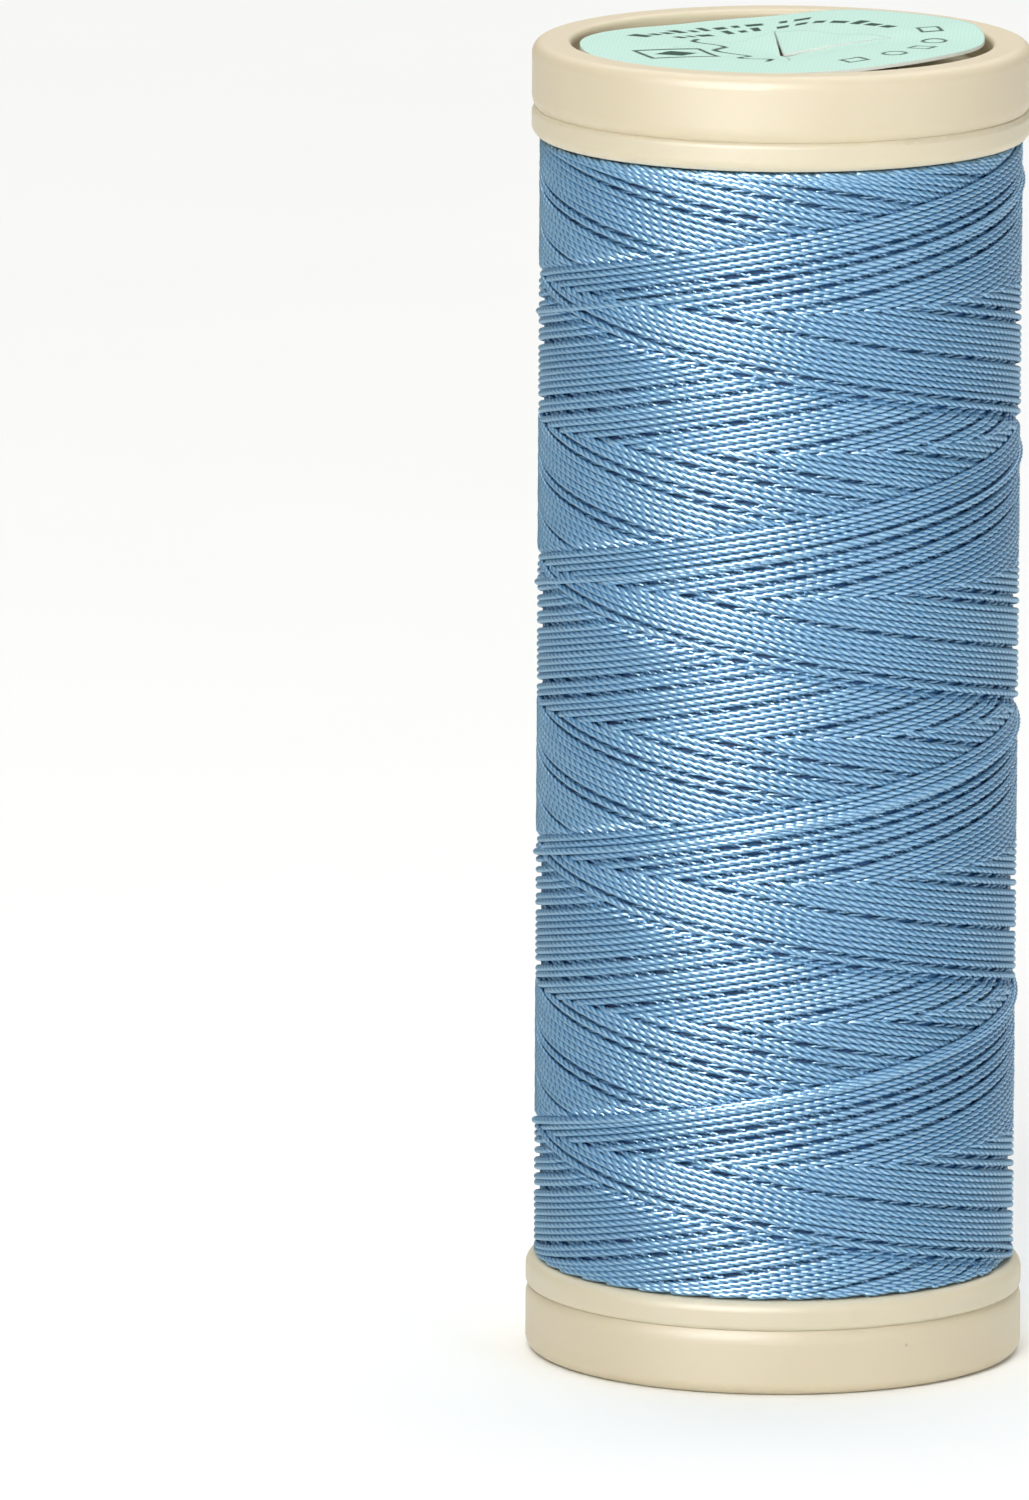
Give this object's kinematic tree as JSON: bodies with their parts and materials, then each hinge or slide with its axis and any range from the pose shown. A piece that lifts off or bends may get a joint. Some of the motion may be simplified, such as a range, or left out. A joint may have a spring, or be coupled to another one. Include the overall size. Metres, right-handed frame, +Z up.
{
  "type": "sewing thread spool",
  "caption": "Moulded plastic spool of cross-wound sewing silk, with push-in end caps that lock the thread end and slit paper labels over a central pin hole.",
  "frame": {"origin": "centre of the lower end cap's resting plane", "axes": "+Z up along the spool's axis; +X to the right and -Y to the front as the spool is seen; the round parts are symmetric about Z"},
  "size_m": [0.022, 0.022, 0.0586],
  "materials": {
    "cap_plastic": "moulded ivory polystyrene, satin",
    "body_plastic": "moulded ivory polystyrene, satin, slightly paler than the caps",
    "label_paper": "pale aqua printed label paper with a fine linen texture",
    "silk": "light blue three-ply twisted sewing silk, lustrous"
  },
  "bodies": {
    "lower_end": {"lower_cap": "cap_plastic", "lower_label": "label_paper"},
    "core": {"spool_body": "body_plastic", "thread_winding": "silk", "thread_tail": "silk"},
    "upper_end": {"upper_cap": "cap_plastic", "upper_label": "label_paper"},
    "lower_flap_1": {"lower_label_flap_1": "label_paper"},
    "lower_flap_2": {"lower_label_flap_2": "label_paper"},
    "lower_flap_3": {"lower_label_flap_3": "label_paper"},
    "lower_flap_4": {"lower_label_flap_4": "label_paper"},
    "upper_flap_1": {"upper_label_flap_1": "label_paper"},
    "upper_flap_2": {"upper_label_flap_2": "label_paper"},
    "upper_flap_3": {"upper_label_flap_3": "label_paper"},
    "upper_flap_4": {"upper_label_flap_4": "label_paper"}
  },
  "joints": [
    {"name": "lower_jaw", "type": "slide", "parent": "lower_end", "child": "core", "axis": [0, 0, 1], "range_m": [0, 0.0012]},
    {"name": "upper_jaw", "type": "slide", "parent": "core", "child": "upper_end", "axis": [0, 0, 1], "range_m": [0, 0.0012]},
    {"name": "lower_flap_1_fold", "type": "hinge", "parent": "lower_end", "child": "lower_flap_1", "pos_m": [0.00265, 0.00207, 0.00122], "axis": [-0.6157, 0.788, 0], "range_deg": [0, 90], "stiffness_Nm_per_rad": 0.00002},
    {"name": "lower_flap_2_fold", "type": "hinge", "parent": "lower_end", "child": "lower_flap_2", "pos_m": [-0.00207, 0.00265, 0.00122], "axis": [-0.788, -0.6157, 0], "range_deg": [0, 90], "stiffness_Nm_per_rad": 0.00002},
    {"name": "lower_flap_3_fold", "type": "hinge", "parent": "lower_end", "child": "lower_flap_3", "pos_m": [-0.00265, -0.00207, 0.00122], "axis": [0.6157, -0.788, 0], "range_deg": [0, 90], "stiffness_Nm_per_rad": 0.00002},
    {"name": "lower_flap_4_fold", "type": "hinge", "parent": "lower_end", "child": "lower_flap_4", "pos_m": [0.00207, -0.00265, 0.00122], "axis": [0.788, 0.6157, 0], "range_deg": [0, 90], "stiffness_Nm_per_rad": 0.00002},
    {"name": "upper_flap_1_fold", "type": "hinge", "parent": "upper_end", "child": "upper_flap_1", "pos_m": [0.00265, -0.00207, 0.05797], "axis": [-0.6157, -0.788, 0], "range_deg": [0, 90], "stiffness_Nm_per_rad": 0.00002},
    {"name": "upper_flap_2_fold", "type": "hinge", "parent": "upper_end", "child": "upper_flap_2", "pos_m": [-0.00207, -0.00265, 0.05797], "axis": [-0.788, 0.6157, 0], "range_deg": [0, 90], "stiffness_Nm_per_rad": 0.00002},
    {"name": "upper_flap_3_fold", "type": "hinge", "parent": "upper_end", "child": "upper_flap_3", "pos_m": [-0.00265, 0.00207, 0.05797], "axis": [0.6157, 0.788, 0], "range_deg": [0, 90], "stiffness_Nm_per_rad": 0.00002},
    {"name": "upper_flap_4_fold", "type": "hinge", "parent": "upper_end", "child": "upper_flap_4", "pos_m": [0.00207, 0.00265, 0.05797], "axis": [0.788, -0.6157, 0], "range_deg": [0, 90], "stiffness_Nm_per_rad": 0.00002}
  ],
  "couplings": [
    {"joint": "lower_flap_2_fold", "follows": "lower_flap_1_fold", "ratio": 1},
    {"joint": "lower_flap_3_fold", "follows": "lower_flap_1_fold", "ratio": 1},
    {"joint": "lower_flap_4_fold", "follows": "lower_flap_1_fold", "ratio": 1},
    {"joint": "upper_flap_2_fold", "follows": "upper_flap_1_fold", "ratio": 1},
    {"joint": "upper_flap_3_fold", "follows": "upper_flap_1_fold", "ratio": 1},
    {"joint": "upper_flap_4_fold", "follows": "upper_flap_1_fold", "ratio": 1}
  ]
}
